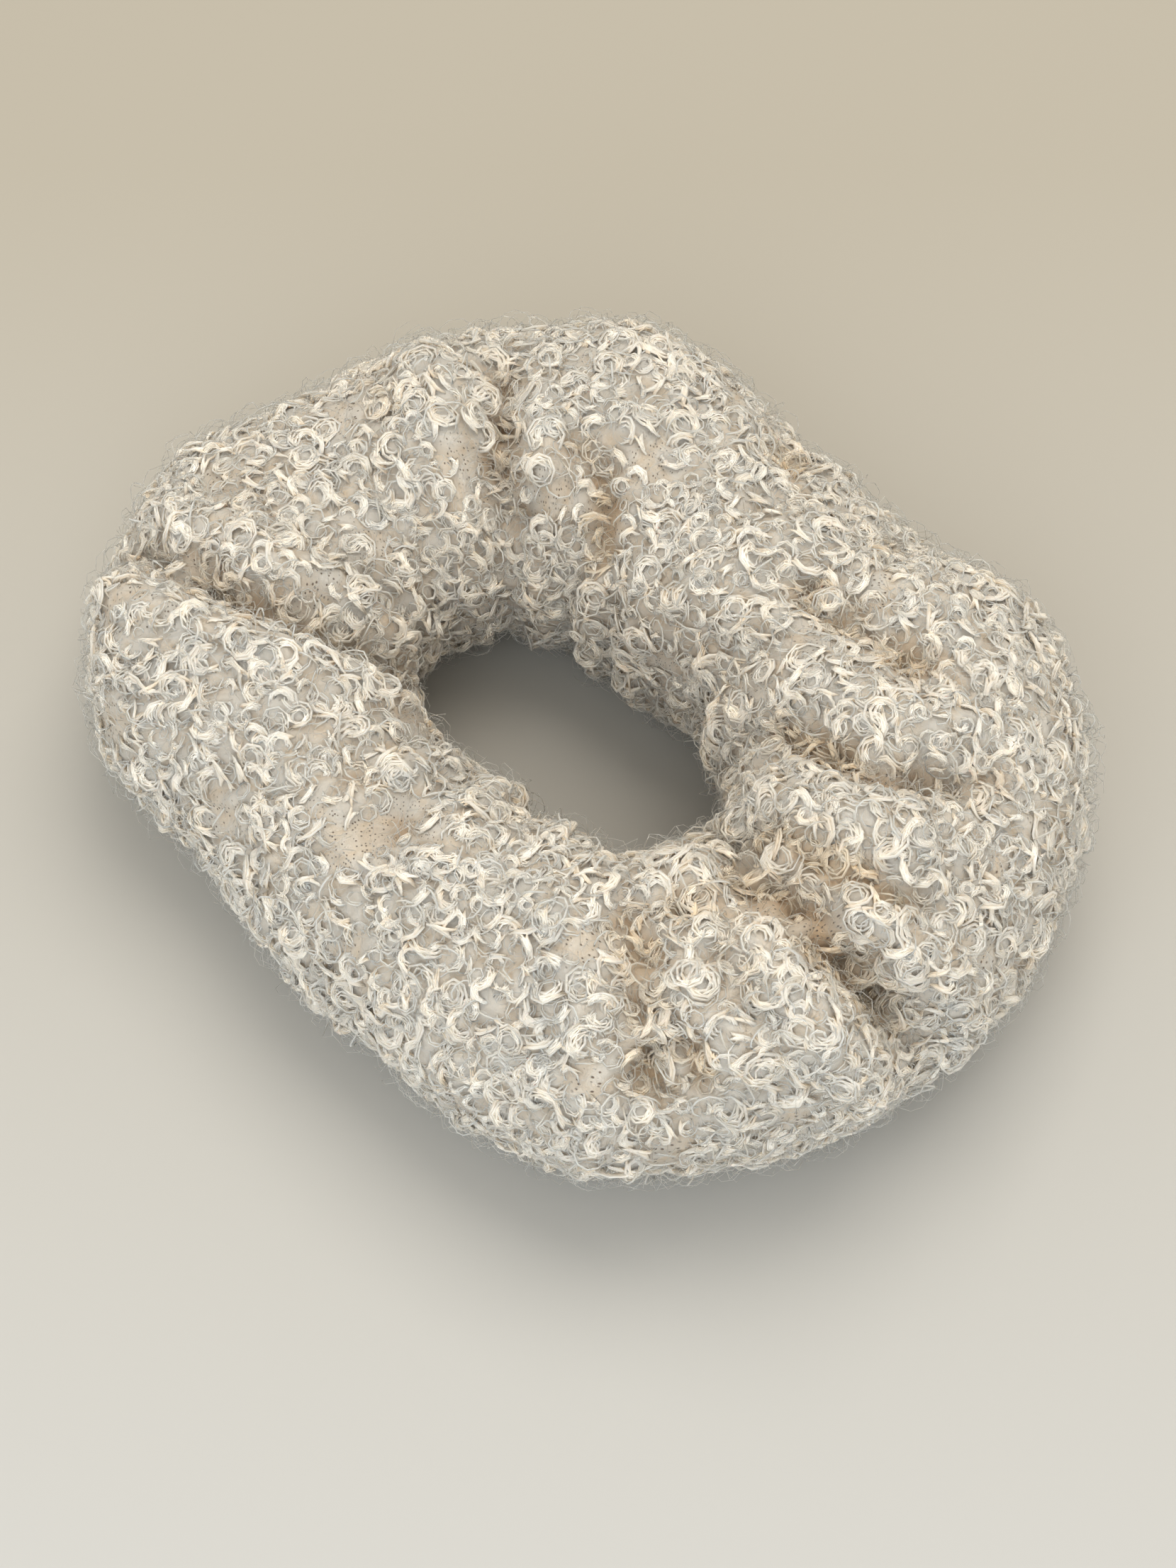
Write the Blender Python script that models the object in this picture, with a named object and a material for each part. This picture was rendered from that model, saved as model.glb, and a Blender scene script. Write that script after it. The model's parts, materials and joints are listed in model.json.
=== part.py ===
"""A curly-pile scrunchie lying relaxed on a table, in metres, +Z up.

A knit tube with a deep curly pile is gathered on a flat elastic loop. The ring is described by
its plan outline: at equal steps round the middle of the hole, how far the hole's edge and the
outer edge are, and how high the gathered tube stands there. Every section is an upright slice
through the hole's middle. The tube is made in two halves that part along X as the elastic
stretches, and it lies on a flat strip of its underside at z = 0.
"""

import math

import bmesh
import bpy
from mathutils import Vector
from mathutils.geometry import tessellate_polygon

# Plan outline, one row every 360 / len(RING) degrees from +X: hole edge, outer edge, height.
MM = 0.001
RING = [
    (19, 70, 46),
    (12, 60, 43),
    (11, 57, 41),
    (14, 63, 42),
    (17, 66, 42),
    (21, 65, 40),
    (22, 70, 38),
    (18, 66, 39),
    (16, 55, 38),
    (14, 50, 36),
    (13, 51, 36),
    (18, 59, 39),
    (27, 69, 42),
    (28, 74, 46),
    (24, 74, 47),
]
HOLE_SCALE = 1.0  # all hole edges together
OUTER_SCALE = 1.0  # all outer edges together
HEIGHT_SCALE = 1.0  # all heights together
REST_SINK = 0.003  # how far the tube's own weight flattens its underside

KNIT_THICKNESS = 0.0015  # backing cloth
PILE_DEPTH = 0.0045  # curls, as a solid layer
COVER_WALL = KNIT_THICKNESS + PILE_DEPTH

THREAD_DIAMETER = 0.0005
CLEARANCE = 0.0003  # between neighbouring solids
SEAM_GAP = THREAD_DIAMETER + 2 * CLEARANCE  # room for a thread between two cloth faces
SEAM_HEIGHT = MM * HEIGHT_SCALE * min(row[2] for row in RING) / 2  # half way up the lowest section
ALLOWANCE = 0.0045  # seam allowance turned inside the tube
THREAD_DEPTH = 0.0015  # how deep in the allowances the long seam's thread runs

BAND_WIDTH = 0.008
BAND_THICKNESS = 0.001
BAND_OFFSET = COVER_WALL + ALLOWANCE + 0.0025  # from the hole's edge to the band
LAP_LENGTH = 0.012  # how far the band's ends overlap
LAP_START = math.radians(196)
LAP_RAMP = math.radians(24)  # where the upper end climbs over the lower one
LAP_STITCHES = 6
LAP_MARGIN = 0.15  # share of the lap left bare at each end of the stitches
STITCH_SLACK = 1.1  # how loosely a stitch goes round the lap

HALF_STEPS = 32
OUTER_POINTS = 30
INNER_POINTS = 22
BAND_STEPS = 72
STITCH_POINTS = 14

FABRIC = ("cream_curly_pile", (0.85, 0.80, 0.72), 0.85)
ELASTIC = ("white_elastic", (0.82, 0.80, 0.76), 0.6)
THREAD = ("cream_thread", (0.84, 0.78, 0.68), 0.5)


def ring_value(column, angle):
    """Reads one column of RING at any angle, on a smooth closed curve through its rows."""
    rows = len(RING)
    place = angle / (2 * math.pi) * rows
    first = math.floor(place)
    t = place - first
    a, b, c, d = (RING[(first + k) % rows][column] for k in (-1, 0, 1, 2))
    bend = 2 * a - 5 * b + 4 * c - d
    twist = 3 * b - a - 3 * c + d
    return MM * (b + 0.5 * ((c - a) * t + bend * t * t + twist * t**3))


def hole_edge(angle):
    return ring_value(0, angle) * HOLE_SCALE


def outer_edge(angle):
    return ring_value(1, angle) * OUTER_SCALE


def tube_height(angle):
    return ring_value(2, angle) * HEIGHT_SCALE


def hole_middle():
    """Where the hole's middle lies, so that the plan's own box is centred on the origin."""
    turn = [math.tau * k / 720 for k in range(720)]
    xs = [outer_edge(a) * math.cos(a) for a in turn]
    ys = [outer_edge(a) * math.sin(a) for a in turn]
    return Vector((-(min(xs) + max(xs)) / 2, -(min(ys) + max(ys)) / 2, 0))


def at(middle, angle, reach, height):
    """A point reach metres from the hole's middle, in the upright slice at this angle."""
    return middle + Vector((reach * math.cos(angle), reach * math.sin(angle), height))


class Section:
    """The tube's upright slice at one angle: an oval with a flattened underside."""

    def __init__(self, angle):
        near = hole_edge(angle)
        far = outer_edge(angle)
        self.reach = (near + far) / 2
        self.half_width = (far - near) / 2
        self.half_height = (tube_height(angle) + REST_SINK) / 2
        self.height = self.half_height - REST_SINK

    def point(self, turn, inset):
        """A point on the oval set in by inset, as (reach, height)."""
        reach = self.reach + (self.half_width - inset) * math.cos(turn)
        height = self.height + (self.half_height - inset) * math.sin(turn)
        return reach, max(inset, height)

    def outer(self):
        return [self.point(math.tau * k / OUTER_POINTS, 0) for k in range(OUTER_POINTS)]

    def turn_at(self, height, inset):
        """The oval's parameter where its hole side is this high."""
        return math.pi - math.asin((height - self.height) / (self.half_height - inset))

    def inner(self):
        """The inside of the wall, with the two seam allowances standing in from the hole's side."""
        half_gap = SEAM_GAP / 2
        top = SEAM_HEIGHT + half_gap + KNIT_THICKNESS
        bottom = SEAM_HEIGHT - half_gap - KNIT_THICKNESS
        first = self.turn_at(bottom, COVER_WALL) - math.tau
        last = self.turn_at(top, COVER_WALL)
        step = (last - first) / (INNER_POINTS - 1)
        wall = [self.point(first + step * k, COVER_WALL) for k in range(INNER_POINTS)]
        root = self.point(self.turn_at(SEAM_HEIGHT, COVER_WALL), COVER_WALL)[0]
        tip = root + ALLOWANCE
        upper = [(tip, top), (tip, SEAM_HEIGHT + half_gap), (root, SEAM_HEIGHT + half_gap)]
        lower = [(root, SEAM_HEIGHT - half_gap), (tip, SEAM_HEIGHT - half_gap), (tip, bottom)]
        return wall + upper + lower


def material(finish):
    name, colour, roughness = finish
    made = bpy.data.materials.new(name)
    made.use_nodes = True
    shader = made.node_tree.nodes["Principled BSDF"]
    shader.inputs["Base Color"].default_value = (*colour, 1)
    shader.inputs["Roughness"].default_value = roughness
    return made


def add_object(name, data, finish):
    made = bpy.data.objects.new(name, data)
    made.data.materials.append(finish)
    bpy.context.scene.collection.objects.link(made)
    return made


def finish_mesh(name, shape, finish):
    bmesh.ops.recalc_face_normals(shape, faces=shape.faces)
    mesh = bpy.data.meshes.new(name)
    shape.to_mesh(mesh)
    shape.free()
    mesh.shade_smooth()
    mesh.set_sharp_from_angle(angle=math.radians(40))
    return add_object(name, mesh, finish)


def walls(shape, rings):
    """Joins each closed ring of vertices to the next one."""
    for here, there in zip(rings, rings[1:]):
        for k in range(len(here)):
            n = (k + 1) % len(here)
            shape.faces.new((here[k], here[n], there[n], there[k]))


def cover_half(name, middle, start, end, side, finish):
    """One half of the gathered tube, from start to end angle, moved half a seam gap to its side."""
    shift = Vector((side * SEAM_GAP / 2, 0, 0))
    shape = bmesh.new()
    outers = []
    inners = []
    for k in range(HALF_STEPS + 1):
        angle = start + (end - start) * k / HALF_STEPS
        section = Section(angle)
        for points, rings in ((section.outer(), outers), (section.inner(), inners)):
            placed = [at(middle, angle, *point) + shift for point in points]
            rings.append([shape.verts.new(point) for point in placed])
    walls(shape, outers)
    walls(shape, inners)
    for end_ring in (0, -1):
        rim = outers[end_ring]
        bore = inners[end_ring]
        both = rim + bore
        loops = [[v.co for v in rim], [v.co for v in bore]]
        for triangle in tessellate_polygon(loops):
            shape.faces.new([both[k] for k in triangle])
    return finish_mesh(name, shape, finish)


def band_reach(angle):
    return hole_edge(angle) + BAND_OFFSET


def lap_angle():
    return LAP_LENGTH / band_reach(LAP_START)


def elastic_band(middle, finish):
    """A flat strip that runs once round inside the tube and laps over its own start."""
    rise = BAND_THICKNESS + CLEARANCE
    sweep = math.tau + lap_angle()
    shape = bmesh.new()
    rings = []
    for k in range(BAND_STEPS + 1):
        angle = LAP_START + sweep * k / BAND_STEPS
        climb = (angle - LAP_START - math.tau + LAP_RAMP) / LAP_RAMP
        climb = min(max(climb, 0), 1)
        near = band_reach(angle) + rise * climb * climb * (3 - 2 * climb)
        far = near + BAND_THICKNESS
        low = SEAM_HEIGHT - BAND_WIDTH / 2
        high = SEAM_HEIGHT + BAND_WIDTH / 2
        corners = ((near, low), (far, low), (far, high), (near, high))
        rings.append([shape.verts.new(at(middle, angle, *corner)) for corner in corners])
    walls(shape, rings)
    shape.faces.new(rings[0])
    shape.faces.new(rings[-1])
    return finish_mesh("elastic_band", shape, finish)


def thread(name, points, closed, finish):
    curve = bpy.data.curves.new(name, "CURVE")
    curve.dimensions = "3D"
    curve.bevel_depth = THREAD_DIAMETER / 2
    curve.bevel_resolution = 1
    curve.render_resolution_u = 0
    curve.use_fill_caps = not closed
    spline = curve.splines.new("POLY")
    spline.points.add(len(points) - 1)
    for knot, point in zip(spline.points, points):
        knot.co = (*point, 1)
    spline.use_cyclic_u = closed
    return add_object(name, curve, finish)


def long_seam_thread(middle, finish):
    """Closes the cloth strip into a tube, between the allowances on the hole's side."""
    points = []
    for k in range(2 * HALF_STEPS):
        angle = math.pi / 2 + math.tau * k / (2 * HALF_STEPS)
        section = Section(angle)
        root = section.point(section.turn_at(SEAM_HEIGHT, COVER_WALL), COVER_WALL)[0]
        points.append(at(middle, angle, root + THREAD_DEPTH, SEAM_HEIGHT))
    return thread("long_seam_thread", points, True, finish)


def closing_seam_thread(middle, finish):
    """Joins the tube's two ends, at the far side, half way through the cover's wall."""
    angle = math.pi / 2
    section = Section(angle)
    turns = [math.tau * k / OUTER_POINTS for k in range(OUTER_POINTS)]
    points = [at(middle, angle, *section.point(turn, COVER_WALL / 2)) for turn in turns]
    return thread("closing_seam_thread", points, True, finish)


def elastic_join_thread(middle, finish):
    """Whip stitches round both layers of the band's lap."""
    reach_out = BAND_THICKNESS + 1.5 * CLEARANCE + THREAD_DIAMETER / 2
    reach_up = BAND_WIDTH / 2 + CLEARANCE + THREAD_DIAMETER / 2
    lap = lap_angle()
    points = []
    count = LAP_STITCHES * STITCH_POINTS
    for k in range(count + 1):
        angle = LAP_START + lap * (LAP_MARGIN + (1 - 2 * LAP_MARGIN) * k / count)
        middle_reach = band_reach(angle) + BAND_THICKNESS + CLEARANCE / 2
        turn = math.tau * k / STITCH_POINTS  # a rounded oblong, flatter than an oval
        across = math.copysign(math.sqrt(abs(math.cos(turn))), math.cos(turn))
        up = math.copysign(math.sqrt(abs(math.sin(turn))), math.sin(turn))
        reach = middle_reach + STITCH_SLACK * reach_out * across
        points.append(at(middle, angle, reach, SEAM_HEIGHT + STITCH_SLACK * reach_up * up))
    return thread("elastic_join_thread", points, False, finish)


def build():
    for old in list(bpy.data.objects):
        bpy.data.objects.remove(old)
    middle = hole_middle()
    fabric = material(FABRIC)
    elastic = material(ELASTIC)
    cotton = material(THREAD)
    quarter = math.pi / 2
    cover_half("cover_left", middle, quarter, 3 * quarter, -1, fabric)
    cover_half("cover_right", middle, -quarter, quarter, 1, fabric)
    elastic_band(middle, elastic)
    elastic_join_thread(middle, cotton)
    long_seam_thread(middle, cotton)
    closing_seam_thread(middle, cotton)


build()
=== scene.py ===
import json
import math
import time

import bpy
import numpy as np
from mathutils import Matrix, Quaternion, Vector, noise

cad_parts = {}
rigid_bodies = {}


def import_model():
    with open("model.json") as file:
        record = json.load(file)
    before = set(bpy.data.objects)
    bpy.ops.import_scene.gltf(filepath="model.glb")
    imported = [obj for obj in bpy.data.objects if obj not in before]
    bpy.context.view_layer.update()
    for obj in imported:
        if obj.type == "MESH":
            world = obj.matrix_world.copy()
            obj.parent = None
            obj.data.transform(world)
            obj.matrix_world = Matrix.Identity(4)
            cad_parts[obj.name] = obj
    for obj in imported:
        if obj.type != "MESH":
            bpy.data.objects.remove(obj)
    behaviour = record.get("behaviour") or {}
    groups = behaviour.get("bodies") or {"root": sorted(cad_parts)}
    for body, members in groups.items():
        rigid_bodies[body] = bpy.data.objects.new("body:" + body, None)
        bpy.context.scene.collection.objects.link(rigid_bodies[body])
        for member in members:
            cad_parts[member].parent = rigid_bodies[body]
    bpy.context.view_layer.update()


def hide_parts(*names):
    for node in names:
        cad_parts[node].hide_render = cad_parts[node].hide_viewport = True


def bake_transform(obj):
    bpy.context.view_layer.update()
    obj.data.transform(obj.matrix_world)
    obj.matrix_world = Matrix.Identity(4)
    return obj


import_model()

started = time.time()
mm = 0.001
tau = 2 * math.pi


def say(words):
    print(f"{time.time() - started:6.1f} s  {words}")


# the ring's plan, as in the frame: hole edge, outer edge and height in mm, all round from +X
ring = {
    "rows": [
        (19, 70, 46), (12, 60, 43), (11, 57, 41), (14, 63, 42), (17, 66, 42),
        (21, 65, 40), (22, 70, 38), (18, 66, 39), (16, 55, 38), (14, 50, 36),
        (13, 51, 36), (18, 59, 39), (27, 69, 42), (28, 74, 46), (24, 74, 47),
    ],
    "middleRadius": 46,  # of the tube's middle line, on average
    "tubeRadius": 22,
    "restSink": 3.0,
    "seamHeight": 18.0,
    "bandOffset": 13.0,  # from the hole's edge
    "blendFrom": (-0.058, 0, 0),  # where the stretch begins to pull
    "blendTo": (0.058, 0, 0),
}


def ringValue(column, angle):
    rows = np.array(ring["rows"], float)[:, column]
    place = np.asarray(angle, float) / tau * len(rows)
    first = np.floor(place).astype(int)
    t = place - first
    a, b, c, d = (rows[(first + k) % len(rows)] for k in (-1, 0, 1, 2))
    return b + 0.5 * ((c - a) * t + (2 * a - 5 * b + 4 * c - d) * t**2 + (3 * b - a - 3 * c + d) * t**3)


def holeMiddle():
    turn = np.linspace(0, tau, 720, endpoint=False)
    xs = ringValue(1, turn) * np.cos(turn)
    ys = ringValue(1, turn) * np.sin(turn)
    return -(xs.min() + xs.max()) / 2, -(ys.min() + ys.max()) / 2


ring["middle"] = holeMiddle()


def placed(angle, reach, up):
    x = ring["middle"][0] + reach * np.cos(angle)
    y = ring["middle"][1] + reach * np.sin(angle)
    return np.stack(np.broadcast_arrays(x, y, up), -1)


def ringPoint(angle, turn, inset, floor):
    # a point of the tube's oval slice, in mm, set in from the frame's outside
    near, far, height = (ringValue(k, angle) for k in (0, 1, 2))
    halfHeight = (height + ring["restSink"]) / 2
    reach = (near + far) / 2 + ((far - near) / 2 - inset) * np.cos(turn)
    up = halfHeight - ring["restSink"] + (halfHeight - inset) * np.sin(turn)
    return placed(angle, reach, np.maximum(floor, up))


# small helpers
def node(tree, kind, wired=None, **settings):
    made = tree.nodes.new(kind)
    for name, value in settings.items():
        setattr(made, name, value)
    for key, value in (wired or {}).items():
        if isinstance(value, bpy.types.NodeSocket):
            tree.links.new(value, made.inputs[key])
        else:
            made.inputs[key].default_value = value
    return made


def maths(tree, operation, first, second=0.0, third=0.0):
    made = node(tree, "ShaderNodeMath", {0: first, 1: second, 2: third}, operation=operation)
    return made.outputs[0]


def spread(tree, value, low, high, toLow=0.0, toHigh=1.0):
    made = node(tree, "ShaderNodeMapRange", {0: value, 1: low, 2: high, 3: toLow, 4: toHigh})
    return made.outputs[0]


def blendColours(tree, share, first, second, how="MIX"):
    made = node(tree, "ShaderNodeMix", {0: share, 6: first, 7: second}, data_type="RGBA", blend_type=how)
    return made.outputs[2]


def bump(tree, shader, height, strength, distance):
    made = node(tree, "ShaderNodeBump", {"Strength": strength, "Distance": distance, "Height": height})
    tree.links.new(made.outputs[0], shader.inputs["Normal"])


def addSockets(tree, way, kind, names):
    for name in names:
        tree.interface.new_socket(name, in_out=way, socket_type="NodeSocket" + kind)


def addObject(name, data):
    made = bpy.data.objects.new(name, data)
    bpy.context.scene.collection.objects.link(made)
    return made


def aimedObject(name, data, place, target):
    made = addObject(name, data)
    made.location = place
    made.rotation_euler = (Vector(target) - Vector(place)).to_track_quat("-Z", "Y").to_euler()
    return made


def meshObject(name, points, faces, finish, smooth=True):
    mesh = bpy.data.meshes.new(name)
    mesh.from_pydata([tuple(p) for p in points], [], faces)
    mesh.materials.append(finish)
    if smooth:
        mesh.shade_smooth()
    mesh.validate()
    return addObject(name, mesh)


def writeAttribute(mesh, name, values):
    mesh.attributes.new(name, "FLOAT", "POINT").data.foreach_set("value", np.asarray(values, float).ravel())


def writeMap(mesh, name, maps):
    mesh.uv_layers.new(name=name).data.foreach_set("uv", np.asarray(maps, float).ravel())


# shader groups that several finishes share
def fibreGroup():
    # long thin streaks along a strand, from its own map: u runs along it in mm, v goes round it
    tree = bpy.data.node_groups.new("fibreStreaks", "ShaderNodeTree")
    for name, start in (("Stretch", 0.35), ("Across", 7.0), ("Unevenness", 1.0)):
        tree.interface.new_socket(name, in_out="INPUT", socket_type="NodeSocketFloat").default_value = start
    addSockets(tree, "OUTPUT", "Float", ("Streak", "Height", "Along"))
    given = node(tree, "NodeGroupInput").outputs
    uv = node(tree, "ShaderNodeUVMap", uv_map="strandMap").outputs[0]
    parts = node(tree, "ShaderNodeSeparateXYZ", {0: uv}).outputs
    along = maths(tree, "MULTIPLY", parts[0], given["Stretch"])
    across = maths(tree, "MULTIPLY", parts[1], given["Across"])
    where = node(tree, "ShaderNodeCombineXYZ", {0: along, 1: across, 2: 0.0}).outputs[0]
    fine = node(tree, "ShaderNodeTexNoise", {"Vector": where, "Scale": 1.0, "Detail": 3.0, "Roughness": 0.6})
    rough = spread(tree, fine.outputs[0], 0.32, 0.68)
    soft = maths(tree, "MULTIPLY", maths(tree, "SUBTRACT", rough, 0.5), given["Unevenness"])
    out = node(tree, "NodeGroupOutput")
    tree.links.new(maths(tree, "ADD", soft, 0.5), out.inputs["Streak"])
    tree.links.new(rough, out.inputs["Height"])
    tree.links.new(parts[0], out.inputs["Along"])
    return tree


def foldShadeGroup():
    # painted shade: cloth deep in a fold is lit only by light off warm fibres, so its colour is painted peach
    # and then tan there
    tree = bpy.data.node_groups.new("foldPaintedShade", "ShaderNodeTree")
    colours = (("Open", (0.9, 0.88, 0.84, 1)), ("Fold", (0.8, 0.62, 0.42, 1)))
    for name, start in colours:
        tree.interface.new_socket(name, in_out="INPUT", socket_type="NodeSocketColor").default_value = start
    addSockets(tree, "OUTPUT", "Color", ["Colour"])
    given = node(tree, "NodeGroupInput").outputs
    fold = node(tree, "ShaderNodeAttribute", attribute_name="fold").outputs["Fac"]
    mask = node(tree, "ShaderNodeMapRange", {0: fold, 1: 0.05, 2: 1.0},
                interpolation_type="SMOOTHSTEP").outputs[0]
    out = node(tree, "NodeGroupOutput")
    tree.links.new(blendColours(tree, mask, given["Open"], given["Fold"]), out.inputs["Colour"])
    return tree


groups = {"streaks": fibreGroup(), "foldShade": foldShadeGroup()}


def blankMaterial(name, roughness=None):
    made = bpy.data.materials.new(name)
    made.use_nodes = True
    shader = made.node_tree.nodes["Principled BSDF"]
    if roughness is not None:
        shader.inputs["Roughness"].default_value = roughness
    return made, made.node_tree, shader


def soakLight(shader, weight, sheen):
    # light enters the fibres, spreads and comes out warmer
    shader.subsurface_method = "BURLEY"
    shader.inputs["Subsurface Weight"].default_value = weight
    shader.inputs["Subsurface Radius"].default_value = curlFinish["soakRadius"]
    shader.inputs["Subsurface Scale"].default_value = curlFinish["soakDepth"]
    shader.inputs["Sheen Weight"].default_value = sheen


# finishes
# fold and root are painted shade colours, for the folds and for each strand's root
curlFinish = {
    "open": (0.785, 0.775, 0.75, 1), "down": (0.93, 0.895, 0.84, 1), "fold": (0.78, 0.69, 0.56, 1),
    "shade": (0.92, 0.87, 0.80, 1), "root": (0.985, 0.90, 0.79, 1), "rootShadeLength": 2.4,
    "roughness": (0.5, 0.75), "sheen": 0.3, "gloss": 0.25, "downGloss": 0.2,
    "soak": 0.8, "soakRadius": (1.0, 0.84, 0.68), "soakDepth": 0.0012,
    "bumpStrength": 0.6, "bumpDistance": 0.0001,
}


def curlMaterial(name, clean, gloss):
    made, tree, shader = blankMaterial(name)
    streak = node(tree, "ShaderNodeGroup", node_tree=groups["streaks"])
    # painted shade: the locks are painted peach and tan in the folds
    foldShade = node(tree, "ShaderNodeGroup", {"Open": clean, "Fold": curlFinish["fold"]},
                  node_tree=groups["foldShade"])
    tone = node(tree, "ShaderNodeAttribute", attribute_name="tone").outputs["Fac"]
    dull = maths(tree, "MULTIPLY", spread(tree, tone, 0.0, 1.0, 0.8, 0.15), streak.outputs["Streak"])
    colour = blendColours(tree, dull, foldShade.outputs["Colour"], curlFinish["shade"], "MULTIPLY")
    # painted shade: each strand is painted darker and warmer near its root, where the locks shade one another
    root = spread(tree, streak.outputs["Along"], 0.3, curlFinish["rootShadeLength"], 0.9, 0.0)
    rootShaded = blendColours(tree, root, colour, curlFinish["root"], "MULTIPLY")
    tree.links.new(rootShaded, shader.inputs["Base Color"])
    low, high = curlFinish["roughness"]
    tree.links.new(spread(tree, streak.outputs["Height"], 0.0, 1.0, high, low), shader.inputs["Roughness"])
    bump(tree, shader, streak.outputs["Height"], curlFinish["bumpStrength"], curlFinish["bumpDistance"])
    shader.inputs["Specular IOR Level"].default_value = gloss
    soakLight(shader, curlFinish["soak"], curlFinish["sheen"])
    return made


# fold, valley and hole are painted shade colours: for the folds, the valleys between the tufts and the
# pin-holes
knitFinish = {
    "open": (0.93, 0.885, 0.82, 1), "fold": (0.76, 0.59, 0.41, 1), "hole": (0.22, 0.15, 0.10, 1),
    "valley": (0.95, 0.85, 0.73, 1), "fleck": (0.965, 0.925, 0.86, 1), "stitch": 0.0006,
    "roughness": 0.8, "sheen": 0.35, "soak": 0.6, "bumpStrength": 0.9, "bumpDistance": 0.0004,
}


def knitMaterial():
    # rows of small loops with a pin-hole beside each, and short fuzz over them
    made, tree, shader = blankMaterial("knitBacking", knitFinish["roughness"])
    # painted shade: the knit is painted peach and tan in the folds
    foldShade = node(tree, "ShaderNodeGroup", {"Open": knitFinish["open"], "Fold": knitFinish["fold"]},
                  node_tree=groups["foldShade"])
    cloth = node(tree, "ShaderNodeUVMap", uv_map="clothMap").outputs[0]
    cells = node(tree, "ShaderNodeTexVoronoi", {"Vector": cloth, "Scale": 1.0, "Randomness": 0.55})
    bare = node(tree, "ShaderNodeAttribute", attribute_name="bare").outputs["Fac"]
    # painted shade: each pin-hole is painted dark brown for the shade in the gap, most where the knit is bare
    pin = spread(tree, cells.outputs["Distance"], 0.16, 0.30, 1.0, 0.0)
    hole = maths(tree, "MULTIPLY", pin, spread(tree, bare, 0.25, 0.6))
    fuzz = node(tree, "ShaderNodeTexNoise", {"Vector": cloth, "Scale": 2.4, "Detail": 4.0, "Distortion": 1.5})
    valley = node(tree, "ShaderNodeAttribute", attribute_name="valley").outputs["Fac"]
    whorl = node(tree, "ShaderNodeAttribute", attribute_name="whorl").outputs["Fac"]
    wound = node(tree, "ShaderNodeTexNoise", {"W": maths(tree, "ADD", whorl, fuzz.outputs[0]), "Scale": 4.0,
                                              "Detail": 2.0}, noise_dimensions="1D").outputs[0]
    strands = spread(tree, wound, 0.35, 0.65)
    # painted shade: darker and warmer in the valleys between the tufts
    deep = spread(tree, valley, 0.2, 0.9)
    valleyShaded = blendColours(tree, deep, foldShade.outputs["Colour"], knitFinish["valley"], "MULTIPLY")
    flecked = blendColours(tree, maths(tree, "MULTIPLY", strands, 0.6), valleyShaded, knitFinish["fleck"], "MULTIPLY")
    tree.links.new(blendColours(tree, hole, flecked, knitFinish["hole"]), shader.inputs["Base Color"])
    soakLight(shader, knitFinish["soak"], knitFinish["sheen"])
    fuzzHeight = maths(tree, "MULTIPLY", fuzz.outputs[0], 0.5)
    raised = maths(tree, "ADD", fuzzHeight, maths(tree, "MULTIPLY", strands, 0.5))
    height = maths(tree, "SUBTRACT", raised, hole)
    bump(tree, shader, height, knitFinish["bumpStrength"], knitFinish["bumpDistance"])
    return made


# dark is painted shade, for the braid's grooves
bandFinish = {
    "light": (0.86, 0.84, 0.80, 1), "dark": (0.55, 0.52, 0.47, 1),
    "roughness": 0.6, "bumpStrength": 0.6, "bumpDistance": 0.0002,
}


def elasticMaterial():
    made, tree, shader = blankMaterial("braidedElastic", bandFinish["roughness"])
    band = node(tree, "ShaderNodeUVMap", uv_map="clothMap").outputs[0]
    parts = node(tree, "ShaderNodeSeparateXYZ", {0: band}).outputs
    braid = maths(tree, "SINE", maths(tree, "ADD", maths(tree, "MULTIPLY", parts[0], 9.0),
                                      maths(tree, "PINGPONG", maths(tree, "MULTIPLY", parts[1], 3.0), 1.5)))
    fine = node(tree, "ShaderNodeTexNoise", {"Vector": band, "Scale": 6.0, "Detail": 3.0})
    # painted shade: darker in the braid's grooves, where its bump is low, broken up by noise
    grooveShade = maths(tree, "MULTIPLY", spread(tree, braid, -1.0, 1.0, 0.35, 0.0), fine.outputs[0])
    tree.links.new(blendColours(tree, grooveShade, bandFinish["light"], bandFinish["dark"]),
                   shader.inputs["Base Color"])
    bump(tree, shader, braid, bandFinish["bumpStrength"], bandFinish["bumpDistance"])
    return made


threadFinish = {
    "light": (0.88, 0.82, 0.72, 1), "dark": (0.70, 0.62, 0.50, 1),
    "roughness": 0.55, "bumpStrength": 0.6, "bumpDistance": 0.0001,
}


def threadMaterial():
    made, tree, shader = blankMaterial("spunThread", threadFinish["roughness"])
    streak = node(tree, "ShaderNodeGroup", {"Stretch": 4.0, "Across": 6.0, "Unevenness": 0.9},
                  node_tree=groups["streaks"])
    tree.links.new(blendColours(tree, streak.outputs["Streak"], threadFinish["light"], threadFinish["dark"]),
                   shader.inputs["Base Color"])
    bump(tree, shader, streak.outputs["Height"], threadFinish["bumpStrength"], threadFinish["bumpDistance"])
    return made


finishes = {
    "curl": curlMaterial("glossyCurls", curlFinish["open"], curlFinish["gloss"]),
    "fuzz": curlMaterial("fineFuzz", curlFinish["down"], curlFinish["downGloss"]),
    "knit": knitMaterial(),
    "elastic": elasticMaterial(),
    "thread": threadMaterial(),
}
say("finishes made")


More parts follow.
